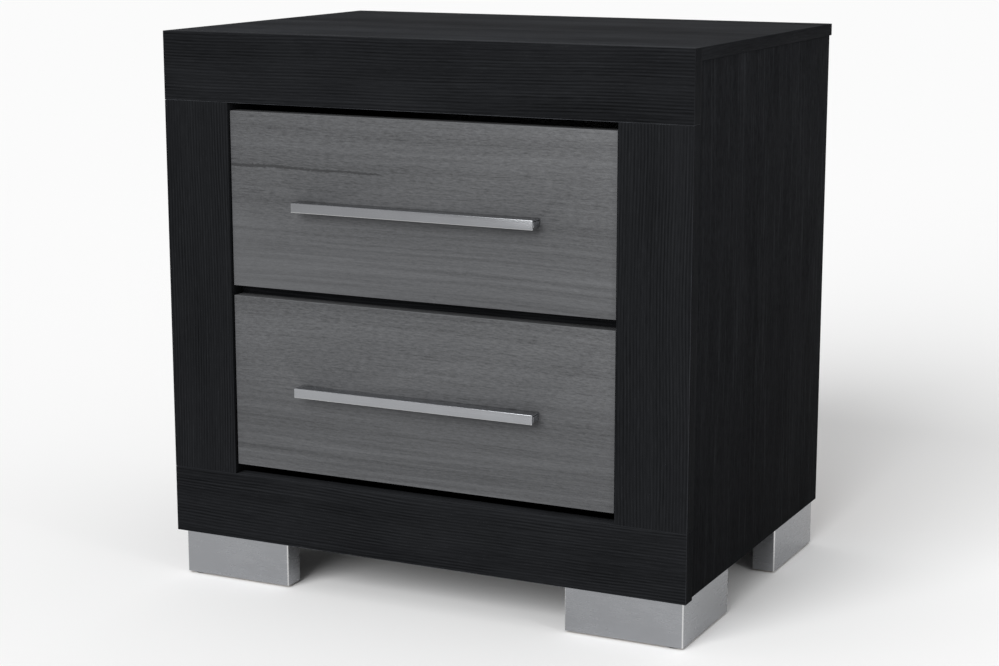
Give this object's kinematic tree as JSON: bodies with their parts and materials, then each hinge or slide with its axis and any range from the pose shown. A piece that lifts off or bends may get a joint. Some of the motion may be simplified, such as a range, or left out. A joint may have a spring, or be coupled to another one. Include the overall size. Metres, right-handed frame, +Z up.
{
  "type": "nightstand with drawers",
  "caption": "Bedside cabinet with a thick black face frame, inset grey drawers on ball-bearing slides, bar handles and L-shaped metal legs.",
  "frame": {"origin": "centre of the bounding box's bottom face, on the floor under the cabinet", "axes": "+Z up to the top surface, -Y the side that the drawers open to, +X to the right of someone facing the drawers"},
  "size_m": [0.61, 0.4444, 0.609],
  "materials": {
    "black_laminate": "black wood-grain embossed laminate, satin",
    "grey_laminate": "grey fine-grained wood laminate, satin",
    "drawer_foil": "dark grey paper foil on fibreboard",
    "hardboard": "brown hardboard, smooth face",
    "leg_core": "raw fibreboard",
    "leg_metal": "brushed nickel",
    "handle_metal": "brushed nickel",
    "zinc_steel": "bright zinc plate",
    "glide_plastic": "matt black plastic"
  },
  "bodies": {
    "case": {"front_top_rail": "black_laminate", "front_bottom_rail": "black_laminate", "front_left_stile": "black_laminate", "front_right_stile": "black_laminate", "top_panel": "black_laminate", "bottom_panel": "black_laminate", "back_panel": "hardboard", "left_side_panel": "black_laminate", "right_side_panel": "black_laminate", "left_inner_panel": "black_laminate", "right_inner_panel": "black_laminate", "drawer_divider_rail": "black_laminate", "rear_top_stretcher": "black_laminate", "front_left_leg_sleeve": "leg_metal", "front_left_leg_core": "leg_core", "front_left_leg_glide": "glide_plastic", "front_right_leg_sleeve": "leg_metal", "front_right_leg_core": "leg_core", "front_right_leg_glide": "glide_plastic", "rear_left_leg_sleeve": "leg_metal", "rear_left_leg_core": "leg_core", "rear_left_leg_glide": "glide_plastic", "rear_right_leg_sleeve": "leg_metal", "rear_right_leg_core": "leg_core", "rear_right_leg_glide": "glide_plastic", "upper_left_slide_case_member": "zinc_steel", "upper_right_slide_case_member": "zinc_steel", "lower_left_slide_case_member": "zinc_steel", "lower_right_slide_case_member": "zinc_steel"},
    "upper_drawer": {"upper_drawer_front": "grey_laminate", "upper_drawer_box_front": "drawer_foil", "upper_drawer_left_side": "drawer_foil", "upper_drawer_right_side": "drawer_foil", "upper_drawer_back": "drawer_foil", "upper_drawer_bottom": "hardboard", "upper_left_slide_drawer_member": "zinc_steel", "upper_handle_left_post": "handle_metal", "upper_handle_left_screw": "zinc_steel", "upper_right_slide_drawer_member": "zinc_steel", "upper_handle_right_post": "handle_metal", "upper_handle_right_screw": "zinc_steel", "upper_handle_bar": "handle_metal"},
    "upper_slide_carriage": {"upper_left_slide_middle_member": "zinc_steel", "upper_right_slide_middle_member": "zinc_steel"},
    "lower_drawer": {"lower_drawer_front": "grey_laminate", "lower_drawer_box_front": "drawer_foil", "lower_drawer_left_side": "drawer_foil", "lower_drawer_right_side": "drawer_foil", "lower_drawer_back": "drawer_foil", "lower_drawer_bottom": "hardboard", "lower_left_slide_drawer_member": "zinc_steel", "lower_handle_left_post": "handle_metal", "lower_handle_left_screw": "zinc_steel", "lower_right_slide_drawer_member": "zinc_steel", "lower_handle_right_post": "handle_metal", "lower_handle_right_screw": "zinc_steel", "lower_handle_bar": "handle_metal"},
    "lower_slide_carriage": {"lower_left_slide_middle_member": "zinc_steel", "lower_right_slide_middle_member": "zinc_steel"}
  },
  "joints": [
    {"name": "upper_drawer_slide", "type": "slide", "parent": "case", "child": "upper_drawer", "axis": [0, -1, 0], "range_m": [0, 0.35]},
    {"name": "upper_carriage_slide", "type": "slide", "parent": "case", "child": "upper_slide_carriage", "axis": [0, -1, 0], "range_m": [0, 0.175]},
    {"name": "lower_drawer_slide", "type": "slide", "parent": "case", "child": "lower_drawer", "axis": [0, -1, 0], "range_m": [0, 0.35]},
    {"name": "lower_carriage_slide", "type": "slide", "parent": "case", "child": "lower_slide_carriage", "axis": [0, -1, 0], "range_m": [0, 0.175]}
  ],
  "couplings": [
    {"joint": "upper_carriage_slide", "follows": "upper_drawer_slide", "ratio": 0.5},
    {"joint": "lower_carriage_slide", "follows": "lower_drawer_slide", "ratio": 0.5}
  ]
}
